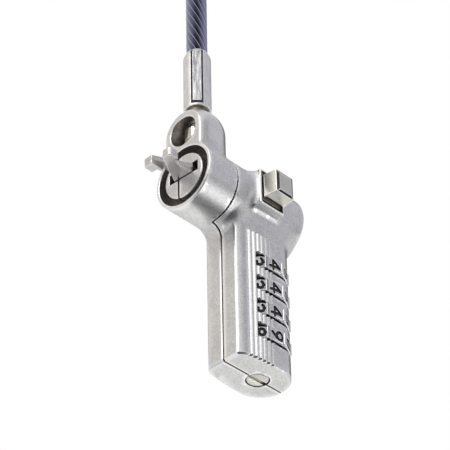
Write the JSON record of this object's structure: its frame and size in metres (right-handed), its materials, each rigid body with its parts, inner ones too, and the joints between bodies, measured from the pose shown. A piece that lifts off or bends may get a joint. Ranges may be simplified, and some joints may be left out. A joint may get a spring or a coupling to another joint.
{
  "type": "laptop cable lock",
  "caption": "Combination cable lock: a barrel with spreading hooks, a push button, a handle with number wheels, and a swivelling steel cable.",
  "frame": {"origin": "centre of the collar's front rim on the barrel's axis, where the hooks enter the laptop's security slot", "axes": "-X out of the nose, -Y towards the button and the number windows, +Z towards the cable, handle down"},
  "size_m": [0.0487, 0.0246, 0.1928],
  "materials": {
    "satin_nickel": "satin nickel plated zinc casting",
    "bright_nickel": "polished nickel",
    "wheel_nickel": "nickel with black filled numbers",
    "hook_steel": "satin hardened steel",
    "plain_steel": "plain turned steel",
    "spring_steel": "spring steel",
    "cable_jacket": "clear blue-grey plastic over steel strands"
  },
  "bodies": {
    "housing": {"main_housing": "satin_nickel", "dial_housing": "satin_nickel", "shell_dowels": "plain_steel", "nose_half_near": "satin_nickel", "nose_half_far": "satin_nickel", "jaw_pin": "plain_steel", "hub_spacers": "plain_steel", "detent_spring": "spring_steel", "slider_spring": "spring_steel", "spindle_spring": "spring_steel"},
    "lower_jaw_body": {"lower_jaw": "hook_steel"},
    "upper_jaw_body": {"upper_jaw": "hook_steel"},
    "slider": {"drive_slider": "plain_steel"},
    "button": {"push_button": "bright_nickel"},
    "fence": {"spindle": "plain_steel"},
    "reset": {"reset_screw": "bright_nickel"},
    "swivel": {"swivel_pin": "bright_nickel", "swivel_washer": "plain_steel", "ferrule": "bright_nickel", "cable": "cable_jacket", "loop_sleeve": "bright_nickel"},
    "wheel_1": {"dial_1": "wheel_nickel", "clutch_hub_1": "plain_steel"},
    "wheel_2": {"dial_2": "wheel_nickel", "clutch_hub_2": "plain_steel"},
    "wheel_3": {"dial_3": "wheel_nickel", "clutch_hub_3": "plain_steel"},
    "wheel_4": {"dial_4": "wheel_nickel", "clutch_hub_4": "plain_steel"}
  },
  "joints": [
    {"name": "button_press", "type": "slide", "parent": "housing", "child": "button", "axis": [0, 1, 0], "range_m": [0, 0.0025], "stiffness_N_per_m": 600, "springref_m": -0.002},
    {"name": "slider_drive", "type": "slide", "parent": "housing", "child": "slider", "axis": [1, 0, 0], "range_m": [-0.0015, 0], "deforming": ["slider_spring"]},
    {"name": "lower_jaw_turn", "type": "hinge", "parent": "housing", "child": "lower_jaw_body", "pos_m": [0.006, 0, 0.0009], "axis": [0, 0, 1], "range_deg": [-2.5, 0]},
    {"name": "upper_jaw_turn", "type": "hinge", "parent": "housing", "child": "upper_jaw_body", "pos_m": [0.006, 0, 0.0009], "axis": [0, 0, 1], "range_deg": [0, 3.5]},
    {"name": "fence_lift", "type": "slide", "parent": "housing", "child": "fence", "axis": [0, 0, 1], "range_m": [-0.0009, 0], "deforming": ["spindle_spring"]},
    {"name": "reset_turn", "type": "hinge", "parent": "housing", "child": "reset", "pos_m": [0.0249, 0, -0.0468], "axis": [0, 0, 1], "range_deg": [0, 90]},
    {"name": "cable_swivel", "type": "hinge", "parent": "housing", "child": "swivel", "pos_m": [0.0054, 0, 0.0186], "axis": [0, 0, 1], "continuous": true},
    {"name": "wheel_1_turn", "type": "hinge", "parent": "housing", "child": "wheel_1", "pos_m": [0.0249, 0, -0.019], "axis": [0, 0, 1], "continuous": true},
    {"name": "wheel_2_turn", "type": "hinge", "parent": "housing", "child": "wheel_2", "pos_m": [0.0249, 0, -0.02585], "axis": [0, 0, 1], "continuous": true},
    {"name": "wheel_3_turn", "type": "hinge", "parent": "housing", "child": "wheel_3", "pos_m": [0.0249, 0, -0.0327], "axis": [0, 0, 1], "continuous": true},
    {"name": "wheel_4_turn", "type": "hinge", "parent": "housing", "child": "wheel_4", "pos_m": [0.0249, 0, -0.03955], "axis": [0, 0, 1], "continuous": true}
  ],
  "couplings": [
    {"joint": "slider_drive", "follows": "button_press", "ratio": -0.6},
    {"joint": "lower_jaw_turn", "follows": "button_press", "rad_per_m": -17.453},
    {"joint": "upper_jaw_turn", "follows": "button_press", "rad_per_m": 24.435},
    {"joint": "fence_lift", "follows": "button_press", "ratio": -0.36}
  ]
}
